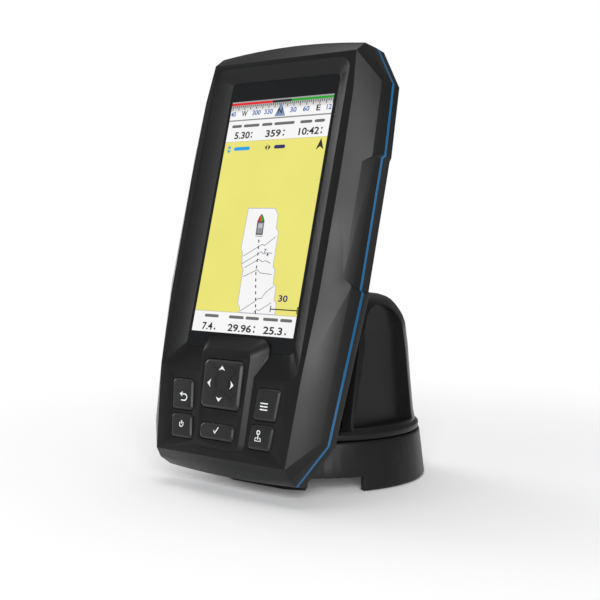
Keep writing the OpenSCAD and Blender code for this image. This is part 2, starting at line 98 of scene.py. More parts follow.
def head_space():
    """Head space to the row frame: x right, y into the unit, z up its face, in millimetres."""
    up = Vector(joint("latch_slide")["axis"]).normalized()
    right = Vector((1, 0, 0))
    back = up.cross(right)
    lens = [v.co for v in frame["nodes"]["cover_lens"].data.vertices]
    depth = min(back.dot(p) for p in lens) - LENS_FRONT * MM
    heights = [up.dot(p) for p in lens]
    height = (min(heights) + max(heights)) / 2 - LENS_MIDDLE * MM
    turn = Matrix((right, back, up)).transposed().to_4x4()
    return Matrix.Translation(back * depth + up * height) @ turn @ Matrix.Scale(MM, 4)


def keypad_slope():
    """Angle from the head's depth to the way that the keys travel."""
    press = Vector(joint("select_key_press")["axis"])
    back = HEAD.to_3x3() @ Vector((0, 1, 0))
    return back.angle(press)


HEAD = head_space()
KEYPAD_SLOPE = keypad_slope()
KEYPAD = HEAD @ Matrix.Translation(KEYPAD_ORIGIN) @ Matrix.Rotation(KEYPAD_SLOPE, 4, "X")


# ---------- sizes and colours ----------


def length(name, description, mm):
    return bpy.props.FloatProperty(
        name=name, description=description, default=mm * MM, min=0, precision=5,
        subtype="DISTANCE", unit="LENGTH",
    )


def colour(name, description, value):
    return bpy.props.FloatVectorProperty(
        name=name, description=description, default=value, subtype="COLOR", size=3, min=0, max=1
    )


class HousingSettings(bpy.types.PropertyGroup):
    """Shells of the head"""

    shell: colour("Shell", "Plastic of the bezel and the rear cover", (0.0075, 0.0077, 0.008))
    band: colour("Band", "Accent band between the shells", (0.003, 0.085, 0.2))
    bezel_round: length("Bezel rounding", "Edge radius of the bezel", 0.75)
    cover_round: length("Cover rounding", "Edge radius of the rear cover", 0.6)
    grain: length("Grain size", "Size of the moulded grain", 0.32)


class ScreenSettings(bpy.types.PropertyGroup):
    """Lens and picture"""

    land: colour("Land", "Land on the chart", (0.89, 0.83, 0.19))
    water: colour("Water", "Water and data rows", (0.98, 0.98, 0.98))
    brightness: bpy.props.FloatProperty(
        name="Brightness", description="Strength of the backlight", default=0.95, min=0, max=3
    )


class KeySettings(bpy.types.PropertyGroup):
    """Keys and their marks"""

    rubber: colour("Key", "Rubber of the key caps", (0.0085, 0.0087, 0.009))
    mark: colour("Mark", "Printed marks on the keys", (0.62, 0.63, 0.64))
    edge_round: length("Key rounding", "Edge radius of the key caps", 0.3)
    stroke: length("Stroke", "Width of the printed strokes", 0.46)


class MountSettings(bpy.types.PropertyGroup):
    """Pedestal and base"""

    nylon: colour("Nylon", "Moulded nylon of the mount", (0.0075, 0.0077, 0.0082))
    edge_round: length("Mount rounding", "Edge radius of the mount", 0.7)


class StageSettings(bpy.types.PropertyGroup):
    """Camera, floor and lights"""

    eye: bpy.props.FloatVectorProperty(
        name="Eye", description="Camera's place", default=(0.3160, -0.3774, 0.1024),
        subtype="TRANSLATION", unit="LENGTH",
    )
    aim: bpy.props.FloatVectorProperty(
        name="Aim", description="Camera's direction", default=(-0.6522, 0.7553, -0.0638),
        subtype="DIRECTION",
    )
    focal: bpy.props.FloatProperty(
        name="Focal length", description="Lens of the camera", default=71.63, min=1, unit="CAMERA"
    )


# ---------- materials ----------


class NodeTree:
    """Short calls that add a tree's nodes and join their sockets."""

    def __init__(self, tree):
        self.tree = tree

    def join(self, socket, value):
        if isinstance(value, bpy.types.NodeSocket):
            self.tree.links.new(value, socket)
        else:
            socket.default_value = value

    def add(self, kind, settings=None, **inputs):
        node = self.tree.nodes.new(kind)
        for key, value in (settings or {}).items():
            setattr(node, key, value)
        for key, value in inputs.items():
            self.join(node.inputs[key.replace("_", " ")], value)
        return node


class Finish(NodeTree):
    """A material, and what varies its colour, sheen and relief."""

    def __init__(self, name, base, roughness, metallic=0.0, **sockets):
        self.material = bpy.data.materials.new(name)
        self.material.use_nodes = True
        super().__init__(self.material.node_tree)
        self.shader = self.tree.nodes["Principled BSDF"]
        self.base = base
        self.roughness = roughness
        self.shader.inputs["Base Color"].default_value = (*base, 1)
        self.shader.inputs["Roughness"].default_value = roughness
        self.shader.inputs["Metallic"].default_value = metallic
        for key, value in sockets.items():
            self.shader.inputs[key.replace("_", " ")].default_value = value
        self.coords = self.tree.nodes.new("ShaderNodeTexCoord").outputs["Object"]

    def stretched(self, factors):
        return self.add("ShaderNodeMapping", Vector=self.coords, Scale=factors).outputs["Vector"]

    def noise(self, size_mm, detail=2.0, vector=None):
        """Noise whose features are about this size."""
        scale = 1 / (size_mm * MM)
        vector = vector or self.coords
        node = self.add("ShaderNodeTexNoise", Vector=vector, Scale=scale, Detail=detail)
        return node.outputs["Fac"]

    def cells(self, size_mm):
        """Distance to the borders of cells of about this size."""
        scale = 1 / (size_mm * MM)
        edges = {"feature": "DISTANCE_TO_EDGE"}
        node = self.add("ShaderNodeTexVoronoi", edges, Vector=self.coords, Scale=scale)
        return node.outputs["Distance"]

    def spread(self, value, low, high, from_low=0.3, from_high=0.7):
        """Maps a texture's middle range to low and high."""
        node = self.add(
            "ShaderNodeMapRange", Value=value,
            From_Min=from_low, From_Max=from_high, To_Min=low, To_Max=high,
        )
        return node.outputs["Result"]

    def vary_colour(self, value, darker, lighter):
        low = tuple(c * darker for c in self.base) + (1,)
        high = tuple(min(1, c * lighter) for c in self.base) + (1,)
        self.mix_colour(value, low, high)

    def mix_colour(self, value, low, high):
        ramp = self.add("ShaderNodeValToRGB", Fac=value)
        ramp.color_ramp.elements[0].position = 0.3
        ramp.color_ramp.elements[1].position = 0.7
        ramp.color_ramp.elements[0].color = low
        ramp.color_ramp.elements[1].color = high
        self.join(self.shader.inputs["Base Color"], ramp.outputs["Color"])

    def vary_roughness(self, value, amount):
        result = self.spread(value, self.roughness - amount, self.roughness + amount)
        self.join(self.shader.inputs["Roughness"], result)

    def bump(self, value, depth_mm, strength=1.0):
        """Adds a relief of this depth, on top of any relief already there."""
        node = self.add("ShaderNodeBump", Height=value, Strength=strength, Distance=depth_mm * MM)
        before = self.shader.inputs["Normal"]
        if before.is_linked:
            self.join(node.inputs["Normal"], before.links[0].from_socket)
        self.join(before, node.outputs["Normal"])


def moulded_plastic(name, base, roughness, grain_mm, depth_mm, shine=0.5):
    """Spark-eroded grain, with a slow change of sheen over the moulding."""
    finish = Finish(name, base, roughness, Specular_IOR_Level=shine)
    grain = finish.noise(grain_mm, 3.0)
    broad = finish.noise(35, 2.0)
    finish.vary_colour(grain, 0.82, 1.2)
    finish.vary_roughness(broad, 0.05)
    finish.bump(grain, depth_mm)
    finish.bump(finish.noise(9, 1.0), 0.02)
    return finish.material


def silicone(name, base, roughness):
    """Soft rubber with a powdery surface."""
    finish = Finish(
        name, base, roughness, Sheen_Weight=0.08, Sheen_Roughness=0.5, Specular_IOR_Level=0.3
    )
    powder = finish.noise(0.18, 4.0)
    finish.vary_colour(powder, 0.85, 1.18)
    finish.vary_roughness(finish.noise(6, 2.0), 0.06)
    finish.bump(powder, 0.008)
    return finish.material


def brushed_metal(name, base, roughness, grain=(1, 30, 30)):
    """Metal with fine lines from turning or rolling."""
    finish = Finish(name, base, roughness, 1.0)
    lines = finish.noise(6, 4.0, finish.stretched(grain))
    finish.vary_colour(lines, 0.86, 1.08)
    finish.vary_roughness(lines, 0.08)
    finish.bump(lines, 0.006)
    return finish.material


def circuit_board(name, base):
    """Solder mask over copper tracks."""
    finish = Finish(name, base, 0.35, Coat_Weight=0.3, Coat_Roughness=0.15)
    tracks = finish.spread(finish.cells(2.4), 1.0, 0.0, 0.03, 0.06)
    finish.mix_colour(tracks, (*base, 1), (base[0] * 3, base[1] * 1.9, base[2] * 1.6, 1))
    finish.bump(tracks, 0.03)
    return finish.material


def ceramic(name, base, roughness):
    finish = Finish(name, base, roughness)
    specks = finish.noise(0.5, 4.0)
    finish.vary_colour(specks, 0.8, 1.12)
    finish.bump(specks, 0.02)
    return finish.material


def lens_glass(name):
    """Black-backed cover glass, with faint wiping marks in its gloss."""
    finish = Finish(name, (0.0075, 0.008, 0.009), 0.09, Specular_IOR_Level=0.3)
    smears = finish.noise(14, 3.0, finish.stretched((1, 1, 2.5)))
    finish.vary_colour(smears, 0.9, 1.1)
    finish.vary_roughness(smears, 0.025)
    return finish.material


def lit_picture(name, brightness):
    """Light from the panel: the colour painted on each face, over the fine grid of its cells."""
    finish = Finish(name, (0.01, 0.01, 0.011), 0.16)
    paint = finish.add("ShaderNodeAttribute", {"attribute_name": "paint"}).outputs["Color"]
    haze = finish.spread(finish.noise(16, 2.0), 0.965, 1.0)
    grid = finish.spread(finish.cells(0.24), 0.93, 1.0, 0.0, 0.08)
    level = finish.add("ShaderNodeMath", {"operation": "MULTIPLY"})
    finish.join(level.inputs[0], haze)
    finish.join(level.inputs[1], grid)
    tint = finish.add("ShaderNodeVectorMath", {"operation": "SCALE"})
    finish.join(tint.inputs[0], paint)
    finish.join(tint.inputs["Scale"], level.outputs[0])
    finish.join(finish.shader.inputs["Emission Color"], tint.outputs[0])
    finish.shader.inputs["Emission Strength"].default_value = brightness
    return finish.material


def shell_plastic(settings):
    return moulded_plastic("shell_plastic", settings.shell, 0.4, settings.grain / MM, 0.02, 0.2)


def mount_nylon(settings):
    return moulded_plastic("mount_nylon", settings.nylon, 0.36, 0.55, 0.008, 0.16)


FINISHES = {
    "shell": lambda s: shell_plastic(s.housing),
    "band": lambda s: moulded_plastic("band_plastic", s.housing.band, 0.34, 0.4, 0.006, 0.35),
    "black_rubber": lambda s: silicone("black_rubber", (0.012, 0.012, 0.012), 0.7),
    "grey_rubber": lambda s: silicone("grey_rubber", (0.05, 0.052, 0.055), 0.65),
    "key": lambda s: silicone("key_rubber", s.keys.rubber, 0.46),
    "lens": lambda s: lens_glass("lens_glass"),
    "panel": lambda s: lens_glass("panel_glass"),
    "white_film": lambda s: moulded_plastic("white_film", (0.78, 0.78, 0.76), 0.4, 0.6, 0.004),
    "tinned": lambda s: brushed_metal("tinned_steel", (0.55, 0.56, 0.57), 0.32, (30, 1, 1)),
    "stainless": lambda s: brushed_metal("stainless_steel", (0.6, 0.61, 0.62), 0.26),
    "brass": lambda s: brushed_metal("pin_brass", (0.78, 0.56, 0.22), 0.2),
    "film": lambda s: moulded_plastic("amber_film", (0.42, 0.17, 0.04), 0.3, 1.2, 0.004),
    "board": lambda s: circuit_board("circuit_board", (0.012, 0.1, 0.04)),
    "chip": lambda s: moulded_plastic("chip_epoxy", (0.015, 0.015, 0.016), 0.5, 0.15, 0.01),
    "antenna": lambda s: ceramic("antenna_ceramic", (0.5, 0.44, 0.32), 0.45),
    "ferrite": lambda s: ceramic("ferrite", (0.06, 0.045, 0.035), 0.6),
    "socket": lambda s: moulded_plastic("socket_nylon", (0.014, 0.014, 0.015), 0.45, 0.3, 0.012),
    "acetal": lambda s: moulded_plastic("white_acetal", (0.7, 0.7, 0.67), 0.38, 0.8, 0.006),
    "mount": lambda s: mount_nylon(s.mount),
    "ink": lambda s: silicone("key_ink", s.keys.mark, 0.5),
    "picture": lambda s: lit_picture("lit_picture", s.screen.brightness),
}
made_finishes = {}


def finish(key):
    """A material by its short name, made the first time that it is asked for."""
    if key not in made_finishes:
        made_finishes[key] = FINISHES[key](bpy.context.scene.chartplotter)
    return made_finishes[key]


# ---------- shaping ----------

FITTING_ROUND = 0.25 * MM
MERGE_DISTANCE = 0.03 * MM
FLAT_ANGLE = math.radians(0.6)


def settled(name, mesh, key, body, space=None, replaces=()):
    """A finished piece: its place in its mesh, its finish set, riding on its body."""
    if space is not None:
        mesh.transform(space)
    piece = bpy.data.objects.new(name, mesh)
    bpy.context.scene.collection.objects.link(piece)
    mesh.materials.clear()
    mesh.materials.append(finish(key))
    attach(piece, body)
    if replaces:
        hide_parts(*replaces)
    return piece


def plain_mesh(piece):
    """The evaluated mesh of a piece, which is then removed."""
    evaluated = piece.evaluated_get(bpy.context.evaluated_depsgraph_get())
    mesh = bpy.data.meshes.new_from_object(evaluated)
    bpy.data.objects.remove(piece)
    return mesh


def rounding(piece, radius, segments, sharp):
    """Rounds the edges sharper than this angle in degrees."""
    bevel = piece.modifiers.new("rounding", "BEVEL")
    bevel.width = radius
    bevel.segments = segments
    bevel.limit_method = "ANGLE"
    bevel.angle_limit = math.radians(sharp)
    bevel.use_clamp_overlap = True
    bevel.harden_normals = True


def softened(node, radius, segments=3, sharp=20):
    """A merged copy of a packed node with its sharp edges rounded."""
    mesh = frame["nodes"][node].data.copy()
    work = bmesh.new()
    work.from_mesh(mesh)
    bmesh.ops.remove_doubles(work, verts=work.verts, dist=MERGE_DISTANCE)
    bmesh.ops.dissolve_limit(
        work, angle_limit=FLAT_ANGLE, verts=work.verts, edges=work.edges
    )
    work.to_mesh(mesh)
    work.free()
    piece = bpy.data.objects.new("softened", mesh)
    bpy.context.scene.collection.objects.link(piece)
    mesh.shade_smooth()
    rounding(piece, radius, segments, sharp)
    return plain_mesh(piece)


def rounded(name, node, key, slot, body, radius, **options):
    """Puts a softened copy in a packed node's place."""
    return settled(name, softened(node, radius, **options), key, body, replaces=[node])


def recoat(node, key):
    """Gives a packed node its finish."""
    mesh = frame["nodes"][node].data
    mesh.materials.clear()
    mesh.materials.append(finish(key))


# ---------- flat artwork ----------


FIGURE_HEIGHT = 0.73  # of the font's size
FIGURE_WEIGHT = 0.034  # extra outline, of the figures' height


def linear(level):
    return level / 12.92 if level <= 0.04045 else ((level + 0.055) / 1.055) ** 2.4


def srgb(code):
    """Linear colour from a six-digit colour code."""
    return tuple(linear(int(code[i : i + 2], 16) / 255) for i in (0, 2, 4))


def grey(level):
    """Linear grey from a level of 0 to 255."""
    return (linear(level / 255),) * 3


def arc(centre, radius, start, end, steps):
    """Points along a circle's arc, between two angles in degrees."""
    angles = [math.radians(start + (end - start) * i / steps) for i in range(steps + 1)]
    return [(centre[0] + radius * math.cos(a), centre[1] + radius * math.sin(a)) for a in angles]


def offsets(points, width, closed=False):
    """The two sides of a stroke of this width along a line."""
    sides = []
    count = len(points)
    for i in range(count):
        before = Vector(points[i - 1]) if i or closed else None
        here = Vector(points[i])
        after = Vector(points[(i + 1) % count]) if i < count - 1 or closed else None
        legs = []
        if before:
            legs.append((here - before).normalized())
        if after:
            legs.append((after - here).normalized())
        along = sum(legs, Vector((0, 0))).normalized()
        normal = Vector((-along.y, along.x))
        reach = width / 2 / max(0.5, normal.dot(Vector((-legs[0].y, legs[0].x))))
        sides.append((tuple(here + normal * reach), tuple(here - normal * reach)))
    return sides


class Artwork:
    """Flat shapes in x and z, each on its own layer towards the viewer."""

    def __init__(self):
        self.faces = []

    def shape(self, points, paint, layer):
        self.faces.append((points, paint, layer))

    def box(self, x0, z0, x1, z1, paint, layer):
        self.shape([(x0, z0), (x1, z0), (x1, z1), (x0, z1)], paint, layer)

    def stroke(self, points, width, paint, layer, closed=False):
        sides = offsets(points, width, closed)
        pairs = zip(sides, sides[1:] + sides[:1]) if closed else zip(sides, sides[1:])
        for (left0, right0), (left1, right1) in pairs:
            self.shape([right0, right1, left1, left0], paint, layer)

    def disc(self, centre, radius, paint, layer, steps=20):
        self.shape(arc(centre, radius, 0, 360 - 360 / steps, steps - 1), paint, layer)

    def figures(self, body, centre, size, paint, layer):
        """Digits that fill a width and a height, made a mesh before they are placed."""
        curve = bpy.data.curves.new("figures", "FONT")
        curve.body = body
        curve.size = size[1] / FIGURE_HEIGHT
        curve.resolution_u = 3
        curve.offset = size[1] * FIGURE_WEIGHT
        holder = bpy.data.objects.new("figures", curve)
        bpy.context.scene.collection.objects.link(holder)
        mesh = plain_mesh(holder)
        bpy.data.curves.remove(curve)
        xs = [v.co.x for v in mesh.vertices]
        ys = [v.co.y for v in mesh.vertices]
        middle = ((min(xs) + max(xs)) / 2, (min(ys) + max(ys)) / 2)
        stretch = (size[0] / (max(xs) - min(xs)), size[1] / (max(ys) - min(ys)))
        for face in mesh.polygons:
            corners = [mesh.vertices[i].co for i in face.vertices]
            xs = [(p.x - middle[0]) * stretch[0] + centre[0] for p in corners]
            zs = [(p.y - middle[1]) * stretch[1] + centre[1] for p in corners]
            self.shape(list(zip(xs, zs)), paint, layer)
        bpy.data.meshes.remove(mesh)

    def mesh(self, name, depth_of_layer, thickness):
        """One mesh, facing -Y, with the paint of each face as an attribute."""
        work = bmesh.new()
        paint_layer = work.loops.layers.float_color.new("paint")
        for points, paint, layer in self.faces:
            area = sum(a[0] * b[1] - b[0] * a[1] for a, b in zip(points, points[1:] + points[:1]))
            ordered = points if area > 0 else points[::-1]
            corners = [work.verts.new((x, depth_of_layer(layer), z)) for x, z in ordered]
            face = work.faces.new(corners)
            for loop in face.loops:
                loop[paint_layer] = (*paint, 1)
        bmesh.ops.remove_doubles(work, verts=work.verts, dist=0.001)
        bmesh.ops.solidify(work, geom=work.faces[:], thickness=-thickness)
        bmesh.ops.triangulate(work, faces=work.faces)
        made = bpy.data.meshes.new(name)
        work.to_mesh(made)
        work.free()
        return made


# ---------- geometry nodes ----------


class Pattern(NodeTree):
    """A geometry node tree, whose inputs have names and are set by their identifiers."""

    def __init__(self, name):
        super().__init__(bpy.data.node_groups.new(name, "GeometryNodeTree"))
        for way in ("INPUT", "OUTPUT"):
            self.tree.interface.new_socket(
                "Geometry", in_out=way, socket_type="NodeSocketGeometry"
            )
        self.ids = {}
        self.source = self.tree.nodes.new("NodeGroupInput")

    def size(self, name, default, kind="NodeSocketFloat"):
        item = self.tree.interface.new_socket(name, in_out="INPUT", socket_type=kind)
        item.default_value = default
        self.ids[name] = item.identifier
        return next(o for o in self.source.outputs if o.identifier == item.identifier)

    def maths(self, operation, *values):
        node = self.add("ShaderNodeMath", {"operation": operation})
        for socket, value in zip(node.inputs, values):
            self.join(socket, value)
        return node.outputs[0]

    def vector(self, x, y, z):
        return self.add("ShaderNodeCombineXYZ", X=x, Y=y, Z=z).outputs[0]

    def instances(self, points, shape, rotation=(0, 0, 0), scale=(1, 1, 1)):
        node = self.add("GeometryNodeInstanceOnPoints", Points=points, Instance=shape, Scale=scale)
        self.join(node.inputs["Rotation"], rotation)
        return node.outputs[0]

    def painted(self, geometry, paint):
        node = self.add(
            "GeometryNodeStoreNamedAttribute", {"data_type": "FLOAT_COLOR", "domain": "CORNER"},
            Geometry=geometry, Name="paint",
        )
        node.inputs["Value"].default_value = (*paint, 1)
        return node.outputs[0]

    def finish(self, instances, key, paint=None):
        """Ends the tree: real geometry, with its material set."""
        real = self.add("GeometryNodeRealizeInstances", Geometry=instances).outputs[0]
        if paint:
            real = self.painted(real, paint)
        coated = self.add("GeometryNodeSetMaterial", Geometry=real)
        coated.inputs["Material"].default_value = finish(key)
        last = self.add("NodeGroupOutput")
        self.join(last.inputs[0], coated.outputs[0])

    def made(self, points, edges=(), radius=0.0, **sizes):
        """Runs the tree on a mesh of these points, and gives the plain mesh."""
        start = bpy.data.meshes.new(self.tree.name)
        start.from_pydata(points, edges, [])
        piece = bpy.data.objects.new(self.tree.name, start)
        bpy.context.scene.collection.objects.link(piece)
        modifier = piece.modifiers.new("pattern", "NODES")
        modifier.node_group = self.tree
        for name, value in sizes.items():
            modifier[self.ids[name.replace("_", " ")]] = value
        if radius:
            rounding(piece, radius, 2, 30)
        return plain_mesh(piece)


def ticks_pattern(paint):
    """Tall and short ticks that hang from a line starting at the point given."""
    p = Pattern("compass_ticks")
    count = p.size("Count", 49, "NodeSocketInt")
    pitch = p.size("Pitch", 1.1)
    width = p.size("Width", 0.36)
    tall = p.size("Tall", 1.9)
    short = p.size("Short", 0.95)
    every = p.size("Every", 3, "NodeSocketInt")
    line = p.add("GeometryNodeMeshLine", Count=count, Offset=p.vector(pitch, 0.0, 0.0)).outputs[0]
    rows = p.instances(p.source.outputs["Geometry"], line)
    points = p.add("GeometryNodeRealizeInstances", Geometry=rows).outputs[0]
    index = p.add("GeometryNodeInputIndex").outputs[0]
    step = p.maths("MODULO", index, every)
    is_tall = p.maths("LESS_THAN", step, 0.5)
    extra = p.maths("MULTIPLY", is_tall, p.maths("SUBTRACT", tall, short))
    height = p.maths("ADD", short, extra)
    hung = p.add("GeometryNodeSetPosition", Geometry=points)
    p.join(hung.inputs["Offset"], p.vector(0.0, 0.0, p.maths("MULTIPLY", height, -0.5)))
    tick = p.add("GeometryNodeMeshCube", Size=p.vector(width, LAYER_THICKNESS, 1.0)).outputs[0]
    p.finish(p.instances(hung.outputs[0], tick, scale=p.vector(1.0, 1.0, height)), "picture", paint)
    return p


def dashes_pattern(paint):
    """Dashes along the edges given, each turned to follow them."""
    p = Pattern("track_dashes")
    pitch = p.size("Pitch", 2.4)
    length = p.size("Length", 1.2)
    width = p.size("Width", 0.55)
    path = p.add("GeometryNodeMeshToCurve", Mesh=p.source.outputs["Geometry"]).outputs[0]
    spaced = p.add("GeometryNodeResampleCurve", {"mode": "LENGTH"}, Curve=path, Length=pitch)
    tangent = p.add("GeometryNodeInputTangent").outputs[0]
    turn = p.add("FunctionNodeAlignRotationToVector", {"axis": "Z"}, Vector=tangent).outputs[0]
    dash = p.add("GeometryNodeMeshCube", Size=p.vector(width, LAYER_THICKNESS, length)).outputs[0]
    p.finish(p.instances(spaced.outputs[0], dash, rotation=turn), "picture", paint)
    return p


def screws_pattern():
    """Socket screws with their heads' tops at the points, facing +Y."""
    p = Pattern("socket_screws")
    head = p.size("Head radius", 2.8)
    height = p.size("Head height", 1.6)
    shank = p.size("Shank radius", 1.1)
    length = p.size("Shank length", 5.0)
    key = p.size("Key radius", 1.35)
    depth = p.size("Key depth", 1.1)
    cap = p.add("GeometryNodeMeshCylinder", Vertices=40, Radius=head, Depth=height).outputs[0]
    reach = p.maths("MULTIPLY", depth, 2.0)
    socket = p.add("GeometryNodeMeshCylinder", Vertices=6, Radius=key, Depth=reach)
    raised = p.add("GeometryNodeTransform", Geometry=socket.outputs[0])
    p.join(raised.inputs["Translation"], p.vector(0.0, 0.0, p.maths("MULTIPLY", height, 0.5)))
    cutter = p.add("GeometryNodeMeshBoolean", {"operation": "DIFFERENCE", "solver": "EXACT"})
    p.join(cutter.inputs["Mesh 1"], cap)
    p.join(cutter.inputs["Mesh 2"], raised.outputs[0])
    stem = p.add("GeometryNodeMeshCylinder", Vertices=24, Radius=shank, Depth=length).outputs[0]
    lowered = p.add("GeometryNodeTransform", Geometry=stem)
    drop = p.maths("MULTIPLY", p.maths("ADD", length, height), -0.5)
    p.join(lowered.inputs["Translation"], p.vector(0.0, 0.0, p.maths("ADD", drop, 0.1)))
    both = p.add("GeometryNodeJoinGeometry")
    p.join(both.inputs[0], cutter.outputs[0])
    p.join(both.inputs[0], lowered.outputs[0])
    sunk = p.add("GeometryNodeTransform", Geometry=both.outputs[0])
    p.join(sunk.inputs["Translation"], p.vector(0.0, 0.0, p.maths("MULTIPLY", height, -0.5)))
    quarter = (-math.pi / 2, 0, 0)
    screws = p.instances(p.source.outputs["Geometry"], sunk.outputs[0], rotation=quarter)
    p.finish(screws, "stainless")
    return p


def coils_pattern():
    """Coil springs that stand up from the points."""
    p = Pattern("coil_springs")
    radius = p.size("Coil radius", 0.62)
    wire = p.size("Wire radius", 0.12)
    length = p.size("Length", 1.31)
    turns = p.size("Turns", 4.0)
    coil = p.add("GeometryNodeCurveSpiral", Resolution=20, Rotations=turns, Height=length)
    p.join(coil.inputs["Start Radius"], radius)
    p.join(coil.inputs["End Radius"], radius)
    ring = p.add("GeometryNodeCurvePrimitiveCircle", Resolution=10, Radius=wire)
    drawn = p.add("GeometryNodeCurveToMesh", Curve=coil.outputs[0], Fill_Caps=True)
    p.join(drawn.inputs["Profile Curve"], ring.outputs[0])
    p.finish(p.instances(p.source.outputs["Geometry"], drawn.outputs[0]), "stainless")
    return p


def loose_parts(node, space):
    """Lowest and highest corners of each loose part of a packed node, in that space."""
    work = bmesh.new()
    work.from_mesh(frame["nodes"][node].data)
    work.transform(space.inverted())
    bmesh.ops.remove_doubles(work, verts=work.verts, dist=0.005)
    left = set(work.verts)
    boxes = []
    while left:
        found = [left.pop()]
        for vertex in found:
            linked = {e.other_vert(vertex) for e in vertex.link_edges} & left
            left -= linked
            found.extend(linked)
        low = Vector([min(v.co[i] for v in found) for i in range(3)])
        high = Vector([max(v.co[i] for v in found) for i in range(3)])
        boxes.append((low, high))
    work.free()
    return sorted(boxes, key=lambda box: tuple(round(c, 2) for c in box[0]))


# ---------- the picture on the screen ----------

WHITE = grey(253)
LAND_EDGE = srgb("b9b4d6")
GREY_LINE = grey(140)
RED = srgb("e8161d")
BLACK = grey(16)
GREEN = srgb("12a81c")
BLUE = srgb("3a66b4")
NAVY = srgb("25256e")
SKY = srgb("1aa7ea")
INK = grey(32)
CAPTION = grey(108)
ROW_EDGE = srgb("d2cf9e")
SLATE = srgb("7e98ba")
SLATE_EDGE = srgb("4d6a94")
DECK = srgb("8f9499")
HULL = srgb("3c4248")
DEPTH_LINE = srgb("55595e")
CABIN = srgb("bfc3c7")

# Sizes, outlines and rows of the picture, in head space from its centre
HALF_WIDTH = 26.8
CHANNEL = [
    (-7.5, 2.6), (6.7, 2.5), (8.7, -0.1), (8.9, -5.3), (10.4, -6.7), (10.7, -20.5), (12, -21.8),
    (12.3, -27.2), (14, -28.4), (14.1, -33.4), (15.6, -34.7), (15.8, -39), (-2.9, -39),
    (-2.8, -37.2), (-4.3, -35.4), (-4.6, -22), (-5.9, -20.2), (-6.4, -15.4), (-7.7, -13.7),
]
CONTOURS = [
    [(-5.8, -16.7), (1.1, -13), (3, -11.9), (4.5, -12.3), (9.6, -8.7)],
    [(-5.9, -19.8), (1.3, -16), (3.2, -14.8), (4.8, -15.7), (6.1, -15.2), (9.2, -15.3)],
    [(-4, -21.3), (1.6, -18.4), (2.6, -17.8), (4.8, -18.8), (6.4, -18.3), (9.3, -19.3)],
    [(-3.9, -24.9), (1.8, -22.4), (2.9, -22), (4.9, -23.2), (10.7, -23.6)],
    [(-2.5, -38.5), (4.6, -34.3), (5.7, -33.2), (7.6, -33.1), (9.2, -30.7), (12.7, -28.2)],
    [(4.8, -38.7), (6, -37.5), (7.5, -37.8), (13, -34.5)],
]
TRACK = [(1.1, -10.6), (2, -17.1), (2.4, -22.9), (3.8, -29.5), (5.2, -35.6), (5.8, -38.6)]
# Marks of the compass tape: figures, middle, width, paint
TAPE = [
    ("40", -25.2, 2.7, BLUE), ("W", -19, 3.1, INK), ("300", -12.4, 4.5, BLUE),
    ("330", -5.9, 4.5, BLUE), ("N", 0.3, 2.3, INK), ("30", 7.2, 3.3, BLUE),
    ("60", 13.8, 3.3, BLUE), ("E", 20, 2.1, INK), ("12", 25.3, 2.5, BLUE),
]
# Figures, left, right, height
VALUES = [
    ("5.30", -22.4, -14.0, 33.1), ("359", -5.4, 2.6, 33.1), ("10:42", 11.9, 22.2, 33.1),
    ("7.4", -21.4, -15.7, -45.2), ("29.96", -7.4, 5.1, -45.2), ("25.3", 11.3, 21.0, -45.2),
]
# Left, right, height
CAPTIONS = [
    (-24.7, -19.2, 36.4), (-18.2, -9.6, 36.4), (-8.2, -2.6, 36.4), (-1.6, 9.0, 36.4),
    (11.9, 18.0, 36.4), (19.2, 24.3, 36.4), (-21, -13.3, -41.6), (-7.7, 0.2, -41.6),
    (1.2, 8.2, -41.6), (10.3, 18.0, -41.6), (19.0, 25, -41.6),
]
UNITS = [
    (-13.0, 33.9), (-13.0, 32.2), (4.2, 34.0), (4.2, 32.2), (23.4, 34.0), (23.4, 32.2),
    (-14.4, -46.1), (6.6, -44.3), (6.6, -46.1), (22.6, -46.1),
]


def caption_bar(art, x0, x1, z, paint, layer, tall):
    """A round-ended bar where a caption would stand."""
    r = tall / 2
    ends = arc((x1 - r, z + r), r, -90, 90, 8) + arc((x0 + r, z + r), r, 90, 270, 8)
    art.shape(ends, paint, layer)


def data_rows(art):
    """White rows at the top and the bottom of the picture."""
    art.box(-HALF_WIDTH, 30.6, HALF_WIDTH, 46.95, WHITE, 1)
    for i in range(7):
        art.box(-HALF_WIDTH, 45.9 - (i + 1) * 0.42, HALF_WIDTH, 45.9 - i * 0.42, grey(176 + i * 11), 2)
    art.box(-HALF_WIDTH, 46.9, HALF_WIDTH, 47.45, grey(166), 2)
    art.box(-HALF_WIDTH, 45.9, -4.6, 46.9, RED, 2)
    art.box(-4.6, 45.9, 5.4, 46.9, BLACK, 2)
    art.box(5.4, 45.9, HALF_WIDTH, 46.9, GREEN, 2)
    art.box(-HALF_WIDTH, 39.2, HALF_WIDTH, 39.75, GREY_LINE, 2)
    art.box(-HALF_WIDTH, 30.35, HALF_WIDTH, 30.6, ROW_EDGE, 2)
    art.box(-HALF_WIDTH, -47.4, HALF_WIDTH, -39.1, WHITE, 1)
    art.box(-HALF_WIDTH, -39.3, HALF_WIDTH, -39.0, ROW_EDGE, 2)
    art.shape([(-2.1, 40.1), (3.1, 40.1), (0.3, 45.6)], SLATE, 4)
    art.stroke([(-2.1, 40.1), (0.3, 45.6), (3.1, 40.1)], 0.3, SLATE_EDGE, 5)
    for body, x, width, paint in TAPE:
        art.figures(body, (x, 42.3), (width, 2.1 if body.isdigit() else 2.4), paint, 6)
    for x0, x1, z in CAPTIONS:
        caption_bar(art, x0, x1, z, CAPTION, 3, 1.2)
    for body, x0, x1, z in VALUES:
        art.figures(body, ((x0 + x1) / 2, z), (x1 - x0, 3.0), INK, 3)
    for x, z in UNITS:
        art.disc((x, z), 0.42, INK, 3, 12)


